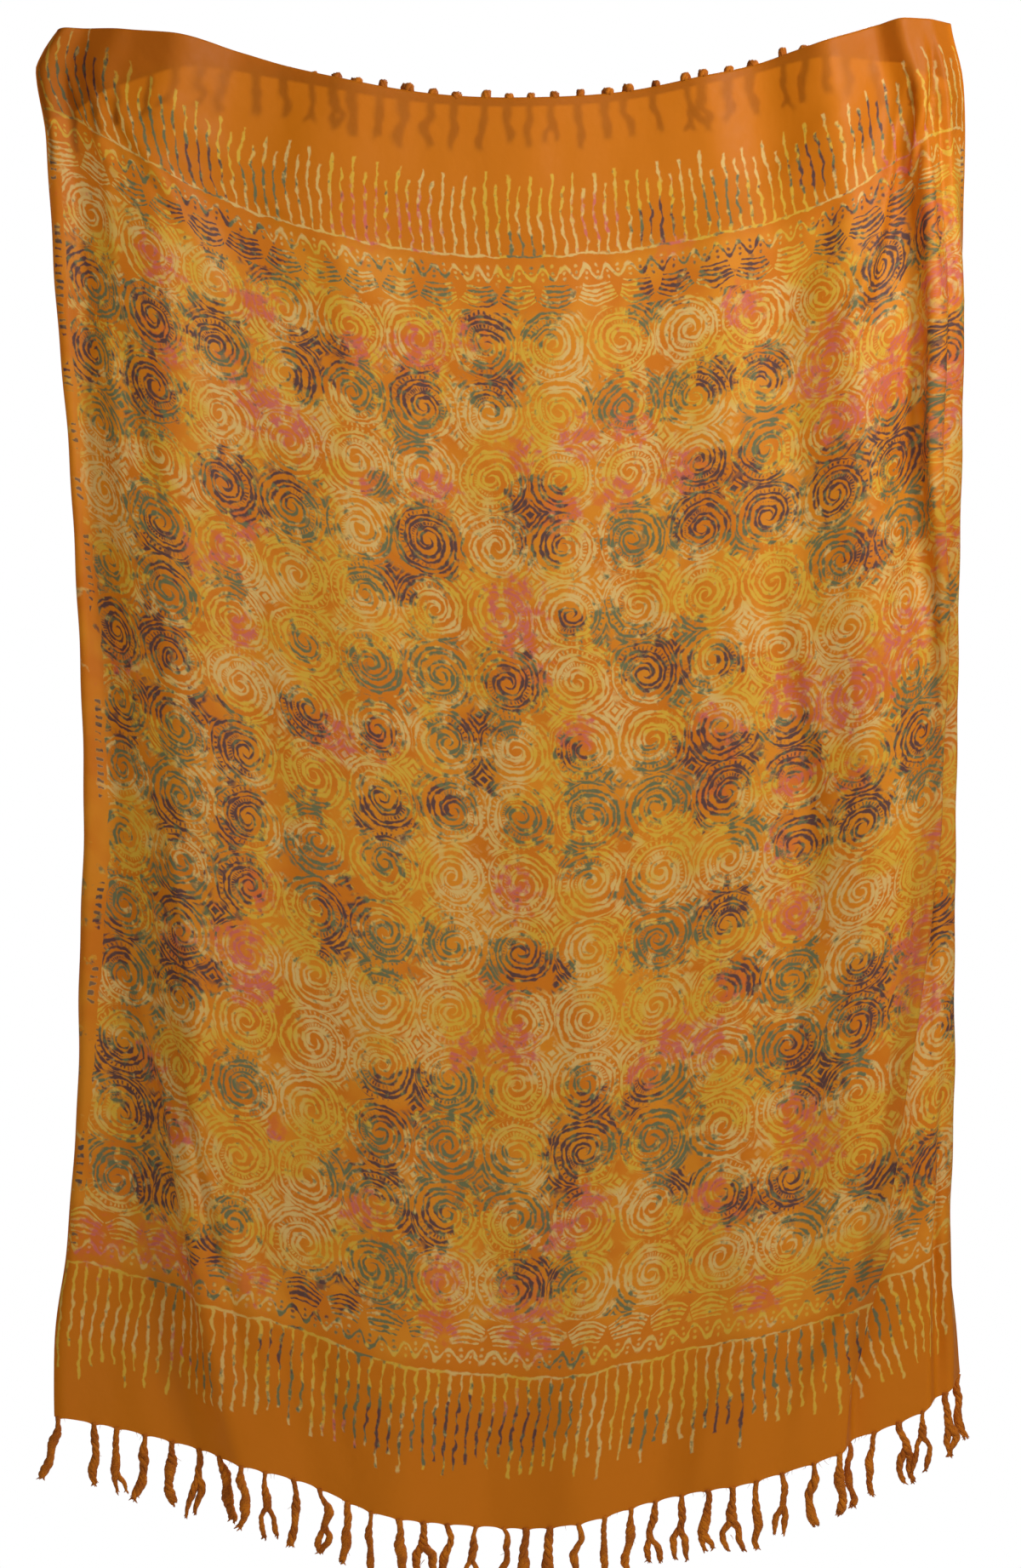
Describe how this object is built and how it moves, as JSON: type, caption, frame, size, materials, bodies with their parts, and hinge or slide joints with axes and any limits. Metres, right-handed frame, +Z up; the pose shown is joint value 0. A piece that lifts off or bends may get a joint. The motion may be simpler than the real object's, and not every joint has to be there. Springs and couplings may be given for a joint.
{
  "type": "batik sarong",
  "caption": "Rectangular wax-resist batik sarong of thin rayon with a knotted fringe at both ends, hung by its two top corners so that it sags and folds",
  "frame": {"origin": "middle of the straight line between the two held top corners", "axes": "+X to the right of the printed face, +Y from the face through to the back, +Z up"},
  "size_m": [1.0909, 0.1194, 1.8449],
  "materials": {
    "batik_cloth": "thin rayon with a soft sheen, resist printed on an orange ground",
    "fringe_yarn": "twisted rayon yarn, matt, brown orange"
  },
  "bodies": {
    "root": {"cloth": "batik_cloth", "fringe_bottom": "fringe_yarn", "fringe_top": "fringe_yarn"}
  },
  "joints": []
}
